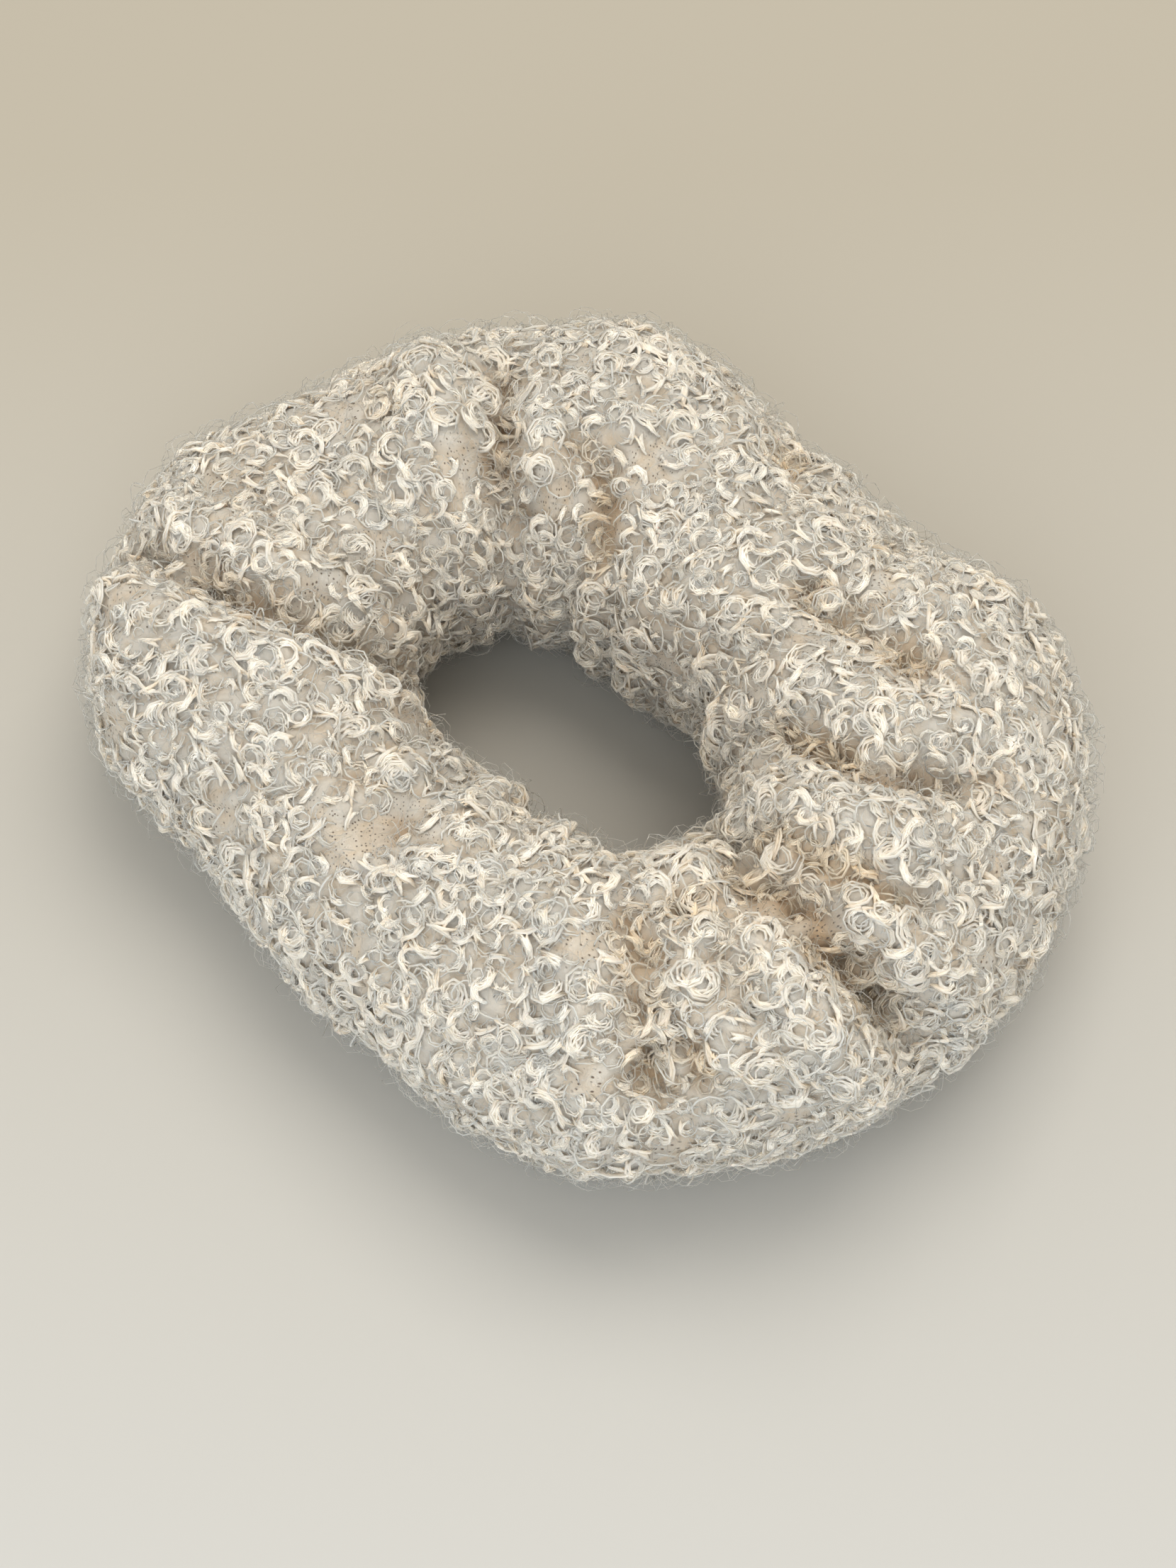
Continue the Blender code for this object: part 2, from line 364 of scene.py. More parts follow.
# the knit cover, gathered on the elastic
cover = {
    "stepsRound": 480, "stepsAcross": 144,
    "inset": 1.5,  # mm from the frame's outside, which is the curls' outside
    "floor": 1.3,
    "thickness": 1.1,
    "flat": (0.115, 0.40),  # the strip as cut
    "gatherPitch": 10.0, "gatherDepth": 1.5, "lumpPitch": 26.0, "lumpDepth": 0.9,
    "tuftPitch": 5.2, "tuftDepth": 1.25, "matPitch": 1.8, "matDepth": 0.18, "bareDepth": 0.2,
    # fold: places as (way round the ring, way round the tube) in degrees, then width and depth in mm
    "folds": [
        ([(158, 25), (163, 68), (167, 95), (169, 122), (171, 160), (172, 185)], 3.6, 9.0),
        ([(99, 66), (101, 100), (104, 128), (103, 150)], 3.2, 5.5),
        ([(85, 104), (78, 116), (73, 132), (74, 155)], 3.0, 3.5),
        ([(18, 108), (5, 104), (353, 92), (350, 78)], 3.8, 4.0),
        ([(338, 160), (332, 125), (330, 100), (334, 74), (338, 50)], 3.2, 3.4),
        ([(331, 90), (335, 64)], 4.0, 4.0),
        ([(308, 140), (311, 110), (314, 78), (319, 55)], 3.2, 3.8),
        ([(305, 150), (303, 110), (305, 80), (307, 50), (311, 5)], 3.8, 8.0),
        ([(283, 112), (283, 80), (282, 45), (281, 20)], 3.4, 5.0),
        ([(292, 110), (294, 85), (295, 60)], 3.4, 4.5),
        ([(286, 52), (287, 30)], 3.0, 3.0),
        ([(214, 90), (226, 86), (236, 84)], 3.2, 2.2),
        ([(118, 45), (121, 92)], 4.0, 1.8),
        ([(54, 30), (45, 55), (38, 75)], 4.0, 2.6),
        ([(22, 40), (18, 65)], 4.0, 2.2),
    ],
    # puff, or a hollow where its height is negative: place in degrees, then radius and height in mm
    "puffs": [
        ((112, 80), 12, 2.0), ((76, 62), 13, 2.5), ((24, 125), 12, 2.5), ((3, 48), 13, 2.5),
        ((322, 84), 7, 3.0), ((297, 50), 9, 3.0), ((277, 8), 10, 2.0), ((174, 48), 13, 2.0),
        ((245, 50), 14, 1.5), ((145, 70), 14, -3.0), ((130, 150), 9, 2.0), ((92, 122), 5, 1.5),
        ((268, -5), 16, 3.0), ((228, -5), 16, 2.8), ((182, 15), 13, 2.5), ((25, 45), 13, -2.0),
        ((345, 10), 16, 1.6),
    ],
    # bare: where the locks are thin and the knit shows, in degrees, then radius in mm
    "bare": [
        ((112, 115), 3.5), ((93, 130), 4.5), ((64, 102), 4.5), ((205, 30), 4.0), ((276, 80), 4.0),
        ((277, 132), 3.5), ((230, 64), 3.5), ((243, 92), 3.0), ((328, 92), 4.0), ((356, 118), 3.5),
        ((159, 116), 3.0), ((141, 126), 3.5), ((20, 0), 4.0), ((60, -10), 4.0), ((130, 20), 4.0),
        ((340, 0), 3.5),
    ],
}


def smoothRoute(places, count=60):
    # an even, rounded line through a few places
    pts = np.array(places, float)
    pts[:, 0] = np.unwrap(np.radians(pts[:, 0]))
    pts[:, 1] = np.radians(pts[:, 1])
    at = np.linspace(0, len(pts) - 1, count)
    return np.interp(at, range(len(pts)), pts[:, 0]), np.interp(at, range(len(pts)), pts[:, 1])


def distances(points, others):
    squares = (points**2).sum(1)[:, None] + (others**2).sum(1)[None] - 2 * points @ others.T
    return np.sqrt(np.maximum(squares, 0))


def wavering(points, pitch, seed):
    # a smooth random value for each point, about -1 to 1, that changes over the pitch given in mm
    shift = Vector((3.1 * seed, 7.7 * seed, 1.3 * seed))
    return np.array([noise.noise(Vector(p) / pitch + shift) for p in points]) * 1.7


def bellCurve(far, width):
    return np.exp(-((far / width) ** 2))


def tufting(points, pitch):
    # rounded cells over the cloth: how far each point is from the valleys between them, and from its middle
    edge, middle = np.empty(len(points)), np.empty(len(points))
    for k, p in enumerate(points):
        far = noise.voronoi(Vector(p) / pitch)[0]
        edge[k], middle[k] = far[1] - far[0], far[0]
    return np.sqrt(np.clip(edge * 1.8, 0, 1)), middle * pitch


def coverPlace(degrees):
    return ringPoint(math.radians(degrees[0]), math.radians(degrees[1]), cover["inset"], cover["floor"])


def coverShape(rounds, across, inward):
    # the cloth's surface, with what its finish and the locks on it need to know at each point
    angle, turn = np.meshgrid(np.linspace(0, tau, rounds, endpoint=False),
                              np.linspace(0, tau, across, endpoint=False), indexing="ij")
    base = ringPoint(angle, turn, cover["inset"], cover["floor"])
    along = np.roll(base, -1, 0) - np.roll(base, 1, 0)
    around = np.roll(base, -1, 1) - np.roll(base, 1, 1)
    outward = np.cross(along, around)
    outward = (outward / np.linalg.norm(outward, axis=-1, keepdims=True)).reshape(-1, 3)
    flat, spin, roll = base.reshape(-1, 3), angle.ravel(), turn.ravel()
    hole = (1 - np.cos(roll)) / 2  # 1 on the hole's side, where the cloth is gathered tightest
    comb = np.stack([np.cos(spin), np.sin(spin), 0.3 * roll], -1)
    comb = comb * (ring["middleRadius"], ring["middleRadius"], cover["gatherPitch"])
    push = cover["gatherDepth"] * wavering(comb, cover["gatherPitch"], 0) * (0.4 + 0.9 * hole)
    push += cover["lumpDepth"] * wavering(flat, cover["lumpPitch"], 1)
    # fold is a mask for painted shade in the cloth's and the locks' colour: along the folds, in hollows and
    # on the hole's side
    fold, bare = np.zeros(len(flat)), np.zeros(len(flat))
    uneven = np.clip(0.85 + 0.55 * wavering(flat, 5.0, 5), 0.25, 1.3)  # folds break up into pockets
    for places, width, depth in cover["folds"]:
        path = ringPoint(*smoothRoute(places), cover["inset"], cover["floor"])
        far = distances(flat, path)
        t = far.argmin(1) / (len(path) - 1)
        taper = np.minimum(1, np.minimum(5 * t, 5 * (1 - t)) + 0.25)
        dip = bellCurve(far.min(1), width) * taper * uneven
        push += depth * (0.22 * bellCurve(far.min(1) - 2.1 * width, width) * taper - dip)
        fold = np.maximum(fold, dip * min(1, depth / 3.5))
    for place, radius, height in cover["puffs"]:
        push += height * bellCurve(distances(flat, coverPlace(place)[None])[:, 0], radius)
    for place, radius in cover["bare"]:
        bare = np.maximum(bare, bellCurve(distances(flat, coverPlace(place)[None])[:, 0], radius))
    # painted shade also where the cloth is pushed in, and towards the hole's side
    fold = np.maximum(fold, np.clip(-(push + 0.6) / 6, 0, 0.5))
    fold = np.maximum(fold, 0.45 * hole**3)
    bare = np.maximum(bare, np.clip(2.2 * wavering(flat, 9.0, 2) - 1.2, 0, 0.8))
    dome, whorl = tufting(flat + 0.6 * wavering(flat, 4.0, 3)[:, None], cover["tuftPitch"])
    mat = cover["tuftDepth"] * (dome - 0.75) + cover["matDepth"] * wavering(flat, cover["matPitch"], 4)
    push += (1 - 0.6 * bare) * mat - bare * cover["bareDepth"]
    shaped = flat + outward * (push - inward)[:, None]
    shaped[:, 2] = np.maximum(shaped[:, 2], cover["floor"] + inward)
    # fold and valley are masks for painted shade in the finishes
    traits = {"fold": fold, "bare": bare, "valley": 1 - dome, "whorl": whorl}
    return shaped.reshape(base.shape), {name: values.reshape(angle.shape) for name, values in traits.items()}


def gridFaces(rounds, across, start=0):
    return [(start + i * across + j, start + (i + 1) % rounds * across + j,
             start + (i + 1) % rounds * across + (j + 1) % across, start + i * across + (j + 1) % across)
            for i in range(rounds) for j in range(across)]


def clothMap(rounds, across):
    # u and v are in knit stitches along and across the strip
    stitch = knitFinish["stitch"] / mm
    turn = np.arange(rounds + 1) * tau * ring["middleRadius"] / rounds / stitch
    cross = np.arange(across + 1) * tau * ring["tubeRadius"] / across / stitch
    uvs = np.empty((rounds, across, 4, 2))
    for corner, (di, dj) in enumerate(((0, 0), (1, 0), (1, 1), (0, 1))):
        uvs[:, :, corner, 0] = turn[di:rounds + di, None]
        uvs[:, :, corner, 1] = cross[None, dj:across + dj]
    return uvs


def makeCover(shaped, traits):
    # the face that carries the locks, and the plainer inner face of the same cloth
    rounds, across = shaped.shape[:2]
    lining, liningTraits = coverShape(rounds // 2, across // 2, cover["thickness"])
    points = np.vstack([shaped.reshape(-1, 3), lining.reshape(-1, 3)])
    inner = [f[::-1] for f in gridFaces(rounds // 2, across // 2, rounds * across)]
    made = meshObject("knitCover", points * mm, gridFaces(rounds, across) + inner, finishes["knit"])
    innerMap = clothMap(rounds // 2, across // 2).reshape(-1, 4, 2)[:, ::-1]
    maps = np.concatenate([clothMap(rounds, across).ravel(), innerMap.ravel()])
    writeMap(made.data, "clothMap", maps)
    for name, values in traits.items():
        writeAttribute(made.data, name, np.append(values, liningTraits[name]))
    return made


coverFace, coverTraits = coverShape(cover["stepsRound"], cover["stepsAcross"], 0.0)
knitCover = makeCover(coverFace, coverTraits)
say("cover shaped")


# pile: a few kinds of lock, scattered over the cloth by the thousand
# lock: how far across it curls in mm, how many turns, how far it rises first in mm, how far its hoop is
# tipped in degrees, 0 standing up and 90 lying flat, and how much tighter it winds towards its tip
curls = {
    "width": 0.4, "depth": 0.34, "steps": 12, "sides": 3, "root": -0.3, "lift": 0.05, "lean": 14,
    "strands": 3, "nesting": 0.23,
    "locks": [
        (3.8, 1.4, 1.1, 78, 0.3), (3.2, 1.45, 1.2, 70, 0.3), (3.6, 1.2, 1.4, 56, 0.1),
        (3.0, 1.45, 1.2, -76, 0.3), (4.4, 1.3, 1.0, -82, 0.4), (3.4, 1.2, 1.4, -58, 0.1),
        (2.8, 1.45, 1.3, 66, 0.3), (4.8, 1.3, 0.9, 84, 0.4), (3.4, 1.35, 1.2, -66, 0.2),
        (4.2, 1.3, 1.0, -86, 0.4), (3.0, 1.2, 1.6, 42, 0.1), (3.8, 1.4, 1.1, 74, 0.3),
    ],
    "sectors": 8, "spacing": 0.0018, "density": 500000.0, "scale": (0.75, 1.3), "seed": 4, "thinning": 0.9,
}
wisps = {
    "width": 0.26, "depth": 0.22, "steps": 12, "sides": 3, "root": -0.3, "lift": 0.3, "lean": 22,
    "strands": 1, "nesting": 0.0,
    "locks": [
        (3.4, 1.3, 0.9, 82, 0.5), (2.4, 1.5, 1.0, 65, 0.4), (3.0, 1.1, 1.5, -30, 0.1),
        (2.2, 1.5, 1.0, -78, 0.4), (4.0, 1.1, 0.9, 78, 0.3), (2.8, 1.0, 1.7, 15, 0.0),
        (2.0, 1.5, 1.0, -86, 0.3), (2.6, 1.4, 1.3, 50, 0.3),
    ],
    "sectors": 8, "spacing": 0.0021, "density": 400000.0, "scale": (0.75, 1.3), "seed": 29, "thinning": 0.75,
}
fuzz = {
    "width": 0.09, "depth": 0.08, "steps": 5, "sides": 3, "root": -0.2, "lift": 1.2, "lean": 30,
    "strands": 1, "nesting": 0.0,
    "locks": [
        (5.0, 0.4, 1.6, 50, 0.5), (4.0, 0.55, 1.2, 75, 0.2), (6.0, 0.32, 2.0, -60, 0.8),
        (3.0, 0.65, 1.2, 85, 0.0), (7.0, 0.26, 2.6, -25, 0.3),
    ],
    "sectors": 8, "spacing": 0.0012, "density": 500000.0, "scale": (0.65, 1.2), "seed": 9, "thinning": 0.2,
}
nest = {"turns": 0.12, "rise": 0.12, "tip": 9, "map": 0.37}  # how a lock's strands differ, one to the next
seedSteps = {"spin": 11.0, "size": 23.0, "pick": 37.0, "sector": 50}
pileRest = {
    "floor": 0.0004,  # m above the table, where locks are pressed flat
    "easing": 0.0012,
    "undersideHeight": 3.0,  # mm
    "undersideShare": 0.5,  # of the locks, since little shows where the ring lies on the table
}


def lockPath(across, turns, rise, tip, tighten, steps, root, lift):
    # a strand that leaves the cloth straight up, then winds about an axis that tips over as it goes
    length = rise + turns * math.pi * across
    step = length / steps
    launch = math.radians(0.7 * abs(tip))  # a hoop leaves the cloth upright, a flat ring nearly along it
    heading, at = Vector((math.sin(launch), 0, math.cos(launch))), Vector((0, 0, root))
    path = [at.copy()]
    for k in range(steps):
        done = (k + 0.5) * step
        wound = min(max(done / rise - 0.5, 0), 1)
        bend = 2 / across * wound * (1 + tighten * max(done - rise, 0) / length)
        t = min(max((done - rise) / (0.8 * across), 0), 1)
        lean = math.radians(tip) * t * t * (3 - 2 * t)
        axis = Vector((0, math.cos(lean), math.sin(lean)))
        heading.rotate(Quaternion(axis, bend * step))
        heading -= axis * 0.6 * wound * (heading.dot(axis) - math.copysign(0.06, tip))  # keeps the loop flat
        heading.normalize()
        at += heading * step
        path.append(at.copy())
    path = np.array(path)
    path[:, :2] -= 0.8 * path[:, :2].mean(0)
    t = np.linspace(0, 1, steps + 1)
    path[:, 2] += (lift - path[3:, 2].mean()) * np.clip(t / 0.15, 0, 1)
    path[:, 2] -= 0.8 * np.clip((t - 0.7) / 0.3, 0, 1) ** 2  # the tip tucks in
    return path


def squareTo(path, aim):
    # two directions square to the path, at each of its points
    ahead = np.gradient(path, axis=0)
    ahead /= np.linalg.norm(ahead, axis=1, keepdims=True)
    side = np.cross(ahead, aim)
    side /= np.linalg.norm(side, axis=1, keepdims=True)
    return side, np.cross(side, ahead)


def tubeSides(reach, sides):
    # the faces along a tube, with a map of how far along it and how far round it each corner is
    faces, maps = [], []
    for k in range(len(reach) - 1):
        for s in range(sides):
            n = (s + 1) % sides
            faces.append((k * sides + s, k * sides + n, (k + 1) * sides + n, (k + 1) * sides + s))
            maps += [(reach[k], s / sides), (reach[k], (s + 1) / sides),
                     (reach[k + 1], (s + 1) / sides), (reach[k + 1], s / sides)]
    return faces, maps


def strandShape(path, width, depth, sides):
    # sweeps a flat oval along the path, thinner at its root and at its tip
    count = len(path)
    side, above = squareTo(path, (0.13, 0.07, 1.0))
    t = np.linspace(0, 1, count)
    thick = np.minimum(1, 0.6 + 3 * t) * np.sqrt(np.clip(1.15 - t**4, 0, 1))
    points = []
    for k in range(count):
        for s in range(sides):
            a = tau * s / sides
            out = side[k] * math.cos(a) * width + above[k] * math.sin(a) * depth
            points.append(path[k] + thick[k] * out / 2)
    reach = np.r_[0, np.cumsum(np.linalg.norm(np.diff(path, axis=0), axis=1))]
    faces, maps = tubeSides(reach, sides)
    for end, order in ((0, -1), (count - 1, 1)):
        faces.append(tuple(end * sides + s for s in range(sides))[::order])
        maps += [(reach[end], 0.5)] * sides
    return points, faces, maps


def lockCollection(kind, name, finish):
    # each lock is a few strands that curl together, one inside the next
    kept = bpy.data.collections.new(name)
    bpy.context.scene.collection.children.link(kept)
    for k, (across, turns, rise, tip, tighten) in enumerate(kind["locks"]):
        points, faces, maps = [], [], []
        for n in range(kind["strands"]):
            nested = 1 - kind["nesting"] * n
            path = lockPath(across * nested, turns + nest["turns"] * n, rise * (1 - nest["rise"] * n),
                            tip + nest["tip"] * n, tighten, kind["steps"], kind["root"], kind["lift"])
            shape = strandShape(path, kind["width"], kind["depth"], kind["sides"])
            faces += [tuple(len(points) + v for v in face) for face in shape[1]]
            points += shape[0]
            maps += [(u, v + nest["map"] * n) for u, v in shape[2]]
        made = meshObject(f"{name}_{k:02d}", np.array(points) * mm, faces, finish)
        writeMap(made.data, "strandMap", maps)
        bpy.context.scene.collection.objects.unlink(made)
        kept.objects.link(made)
    return kept


def scatterTree():
    # spreads locks over one sector of the cloth, each standing off the surface with its own spin and size
    tree = bpy.data.node_groups.new("scatterLocks", "GeometryNodeTree")
    addSockets(tree, "INPUT", "Geometry", ["Geometry"])
    addSockets(tree, "INPUT", "Collection", ["Locks"])
    addSockets(tree, "INPUT", "Float", ("Spacing", "Density", "Smallest", "Largest", "Lean", "Floor"))
    addSockets(tree, "INPUT", "Int", ("Kinds", "Seed"))
    addSockets(tree, "INPUT", "Material", ["Finish"])
    addSockets(tree, "OUTPUT", "Geometry", ["Geometry"])
    given = node(tree, "NodeGroupInput").outputs
    thick = node(tree, "GeometryNodeInputNamedAttribute", {"Name": "pileDensity"},
                 data_type="FLOAT").outputs[0]
    spots = node(tree, "GeometryNodeDistributePointsOnFaces",
                 {"Mesh": given["Geometry"], "Distance Min": given["Spacing"],
                  "Density Max": given["Density"], "Density Factor": thick, "Seed": given["Seed"]},
                 distribute_method="POISSON")
    tone = node(tree, "FunctionNodeRandomValue", {"Seed": given["Seed"]}, data_type="FLOAT").outputs[1]
    marked = node(tree, "GeometryNodeStoreNamedAttribute",
                  {"Geometry": spots.outputs["Points"], "Name": "tone", "Value": tone},
                  data_type="FLOAT", domain="POINT")
    back = maths(tree, "MULTIPLY", given["Lean"], -1.0)
    leanLow = node(tree, "ShaderNodeCombineXYZ", {0: back, 1: back, 2: 0.0})
    leanHigh = node(tree, "ShaderNodeCombineXYZ", {0: given["Lean"], 1: given["Lean"], 2: tau})
    spin = node(tree, "FunctionNodeRandomValue",
                {0: leanLow.outputs[0], 1: leanHigh.outputs[0],
                 "Seed": maths(tree, "ADD", given["Seed"], seedSteps["spin"])},
                data_type="FLOAT_VECTOR").outputs[0]
    turn = node(tree, "FunctionNodeEulerToRotation", {0: spin}).outputs[0]
    stand = node(tree, "FunctionNodeRotateRotation",
                 {"Rotation": spots.outputs["Rotation"], "Rotate By": turn},
                 rotation_space="LOCAL").outputs[0]
    size = node(tree, "FunctionNodeRandomValue",
                {2: given["Smallest"], 3: given["Largest"],
                 "Seed": maths(tree, "ADD", given["Seed"], seedSteps["size"])},
                data_type="FLOAT").outputs[1]
    kinds = maths(tree, "SUBTRACT", given["Kinds"], 1.0)
    pick = node(tree, "FunctionNodeRandomValue",
                {4: 0, 5: kinds, "Seed": maths(tree, "ADD", given["Seed"], seedSteps["pick"])},
                data_type="INT").outputs[2]
    shapes = node(tree, "GeometryNodeCollectionInfo",
                  {"Collection": given["Locks"], "Separate Children": True, "Reset Children": True})
    put = node(tree, "GeometryNodeInstanceOnPoints",
               {"Points": marked.outputs[0], "Instance": shapes.outputs[0], "Pick Instance": True,
                "Instance Index": pick, "Rotation": stand, "Scale": size})
    real = node(tree, "GeometryNodeRealizeInstances", {0: put.outputs[0]})
    place = node(tree, "GeometryNodeInputPosition").outputs[0]
    where = node(tree, "ShaderNodeSeparateXYZ", {0: place}).outputs
    lifted = maths(tree, "SMOOTH_MAX", where[2], given["Floor"], pileRest["easing"])
    flat = node(tree, "ShaderNodeCombineXYZ", {0: where[0], 1: where[1], 2: lifted}).outputs[0]
    rested = node(tree, "GeometryNodeSetPosition", {"Geometry": real.outputs[0], "Position": flat})
    done = node(tree, "GeometryNodeSetMaterial", {"Geometry": rested.outputs[0], "Material": given["Finish"]})
    out = node(tree, "NodeGroupOutput")
    tree.links.new(done.outputs[0], out.inputs[0])
    return tree


def runNodes(tree, bed, name, values):
    # runs the tree on the bed and keeps the result as a plain mesh
    made = addObject(name, bed)
    step = made.modifiers.new(tree.name, "NODES")
    step.node_group = tree
    for item in tree.interface.items_tree:
        if item.in_out == "INPUT" and item.name in values:
            step[item.identifier] = values[item.name]
    bpy.context.view_layer.update()
    ready = made.evaluated_get(bpy.context.evaluated_depsgraph_get())
    mesh = bpy.data.meshes.new_from_object(ready, depsgraph=bpy.context.evaluated_depsgraph_get())
    made.modifiers.remove(step)
    made.data = mesh
    mesh.name = name
    return made


def bedSector(density, first, last, name):
    # a strip of the cloth's outer face between two steps of the ring
    rounds, across = coverFace.shape[:2]
    rows = [k % rounds for k in range(first, last + 1)]
    points = coverFace[rows].reshape(-1, 3) * mm
    faces = gridFaces(len(rows), across)[:-across]  # without the ones that would close the strip
    mesh = bpy.data.meshes.new(name)
    mesh.from_pydata([tuple(p) for p in points], [], faces)
    # the fold mask goes to the locks too, for painted shade in the folds
    writeAttribute(mesh, "fold", coverTraits["fold"][rows])
    writeAttribute(mesh, "pileDensity", density[rows])
    return mesh


def makePile(kind, name, finish):
    density = 1 - kind["thinning"] * coverTraits["bare"]
    density[coverFace[:, :, 2] < pileRest["undersideHeight"]] *= pileRest["undersideShare"]
    locks = lockCollection(kind, name + "Lock", finish)
    made = []
    step = cover["stepsRound"] // kind["sectors"]
    for k in range(kind["sectors"]):
        bed = bedSector(density, k * step, (k + 1) * step, f"{name}Bed{k}")
        values = {
            "Locks": locks, "Kinds": len(kind["locks"]), "Finish": finish,
            "Spacing": kind["spacing"], "Density": kind["density"],
            "Smallest": kind["scale"][0], "Largest": kind["scale"][1],
            "Lean": math.radians(kind["lean"]), "Floor": pileRest["floor"],
            "Seed": kind["seed"] + seedSteps["sector"] * k,
        }
        made.append(runNodes(groups["scatter"], bed, f"{name}_{k + 1}", values))
    for lock in list(locks.objects):
        bpy.data.objects.remove(lock)
    bpy.data.collections.remove(locks)
    total = sum(len(o.data.polygons) for o in made)
    say(f"{name}: {total} faces")
    return made


groups["scatter"] = scatterTree()
pileCurls = makePile(curls, "pileCurls", finishes["curl"])
pileWisps = makePile(wisps, "pileWisps", finishes["curl"])
pileFuzz = makePile(fuzz, "pileFuzz", finishes["fuzz"])
pile = pileCurls + pileWisps + pileFuzz


# the elastic band and the threads inside
elastic = {
    "width": 8.0, "thickness": 1.0, "gap": 0.3, "ribs": 7, "steps": 180,
    "lapStart": math.radians(196), "lapLength": 12.0, "lapRamp": math.radians(24),
    "ribHeight": 0.12, "pinch": 0.04, "pinches": 90, "mapLength": 200.0,
}


def bandReach(angle):
    return ringValue(0, angle) + ring["bandOffset"]


def makeElastic():
    start = elastic["lapStart"]
    sweep = tau + elastic["lapLength"] / float(bandReach(start))
    half = elastic["width"] / 2
    ups = np.linspace(-half, half, elastic["ribs"] * 4 + 1)
    swell = elastic["ribHeight"] * np.abs(np.sin(np.linspace(0, elastic["ribs"] * math.pi, len(ups))))
    thick = elastic["thickness"] / 2 - elastic["ribHeight"]
    points, maps = [], []
    count = elastic["steps"]
    section = [(thick + s, u) for s, u in zip(swell, ups)]
    section += [(-thick - s, u) for s, u in zip(swell[::-1], ups[::-1])]
    n = len(section)
    for k in range(count + 1):
        angle = start + sweep * k / count
        climb = min(max((angle - start - tau + elastic["lapRamp"]) / elastic["lapRamp"], 0), 1)
        rise = (elastic["thickness"] + elastic["gap"]) * climb * climb * (3 - 2 * climb)
        middle = float(bandReach(angle)) + elastic["thickness"] / 2 + rise
        pinch = 1 + elastic["pinch"] * math.sin(angle * elastic["pinches"])
        for out, up in section:
            points.append(placed(angle, middle + out * pinch, ring["seamHeight"] + up))
    faces = [(k * n + s, k * n + (s + 1) % n, (k + 1) * n + (s + 1) % n, (k + 1) * n + s)
             for k in range(count) for s in range(n)]
    faces = [f[::-1] for f in faces] + [tuple(range(n)), tuple(range(count * n, count * n + n))[::-1]]
    corners = ((0, 1), (1, 1), (1, 0), (0, 0))
    for k in range(count):
        for s in range(n):
            maps += [((k + b) / count * elastic["mapLength"], (s + a) / 4) for a, b in corners]
    maps += [(0, 0)] * (2 * n)
    made = meshObject("elasticBand", np.array(points) * mm, faces, finishes["elastic"])
    writeMap(made.data, "clothMap", maps)
    return made


# threads: one stitch, laid along each seam by the same tree
threads = {
    "diameter": 0.42, "sides": 8, "steps": 8, "rise": 0.34, "slant": 0.16,
    "seamPitch": 2.2, "whipTurns": 6, "whipClear": 0.55, "whipEdge": 0.5,
    "longSeamInset": 7.5,  # from the hole's edge
    "closingSeamInset": 1.9,  # under the cover's outside
    "mapStep": 0.4,
}


def stitchTree():
    # lays one stitch after another along a seam, each lying along it and standing off it
    tree = bpy.data.node_groups.new("sewStitches", "GeometryNodeTree")
    addSockets(tree, "INPUT", "Geometry", ["Geometry"])
    addSockets(tree, "INPUT", "Object", ["Stitch"])
    addSockets(tree, "INPUT", "Float", ["Pitch"])
    addSockets(tree, "INPUT", "Material", ["Finish"])
    addSockets(tree, "OUTPUT", "Geometry", ["Geometry"])
    given = node(tree, "NodeGroupInput").outputs
    line = node(tree, "GeometryNodeMeshToCurve", {"Mesh": given["Geometry"]}).outputs[0]
    even = node(tree, "GeometryNodeResampleCurve", {"Curve": line, "Length": given["Pitch"]}, mode="LENGTH")
    outward = node(tree, "GeometryNodeInputNamedAttribute", {"Name": "outward"}, data_type="FLOAT_VECTOR")
    stood = node(tree, "FunctionNodeAlignRotationToVector", {"Vector": outward.outputs[0]}, axis="Z")
    tangent = node(tree, "GeometryNodeInputTangent").outputs[0]
    turned = node(tree, "FunctionNodeAlignRotationToVector",
                  {"Rotation": stood.outputs[0], "Vector": tangent}, axis="X", pivot_axis="Z")
    stitch = node(tree, "GeometryNodeObjectInfo", {"Object": given["Stitch"]}).outputs["Geometry"]
    put = node(tree, "GeometryNodeInstanceOnPoints",
               {"Points": even.outputs[0], "Instance": stitch, "Rotation": turned.outputs[0]})
    real = node(tree, "GeometryNodeRealizeInstances", {0: put.outputs[0]})
    done = node(tree, "GeometryNodeSetMaterial", {"Geometry": real.outputs[0], "Material": given["Finish"]})
    out = node(tree, "NodeGroupOutput")
    tree.links.new(done.outputs[0], out.inputs[0])
    return tree


groups["stitches"] = stitchTree()


def stitchShape(name, path):
    # a round thread along a path in mm, with its own map and closed ends
    side, above = squareTo(path, (0.05, 1.0, 0.11) if np.ptp(path[:, 1]) < 1 else (1.0, 0.05, 0.11))
    sides, count = threads["sides"], len(path)
    points = []
    for k in range(count):
        for s in range(sides):
            a = tau * s / sides
            out = side[k] * math.cos(a) + above[k] * math.sin(a)
            points.append(path[k] + threads["diameter"] / 2 * out)
    faces, maps = tubeSides(np.arange(count) * threads["mapStep"], sides)
    faces += [tuple(range(sides))[::-1], tuple(range((count - 1) * sides, count * sides))]
    maps += [(0, 0)] * (2 * sides)
    made = meshObject(name, np.array(points) * mm, faces, finishes["thread"])
    writeMap(made.data, "strandMap", maps)
    return made


def sew(name, line, outward, closed, pitch, stitch):
    # runs the stitches along a seam given as points in mm, with the way off the cloth at each
    mesh = bpy.data.meshes.new(name + "Line")
    count = len(line)
    edges = [(k, (k + 1) % count) for k in range(count if closed else count - 1)]
    mesh.from_pydata([tuple(np.array(p) * mm) for p in line], edges, [])
    mesh.attributes.new("outward", "FLOAT_VECTOR", "POINT").data.foreach_set("vector", np.ravel(outward))
    values = {"Stitch": stitch, "Pitch": pitch * mm, "Finish": finishes["thread"]}
    made = runNodes(groups["stitches"], mesh, name, values)
    bpy.data.objects.remove(stitch)
    return made


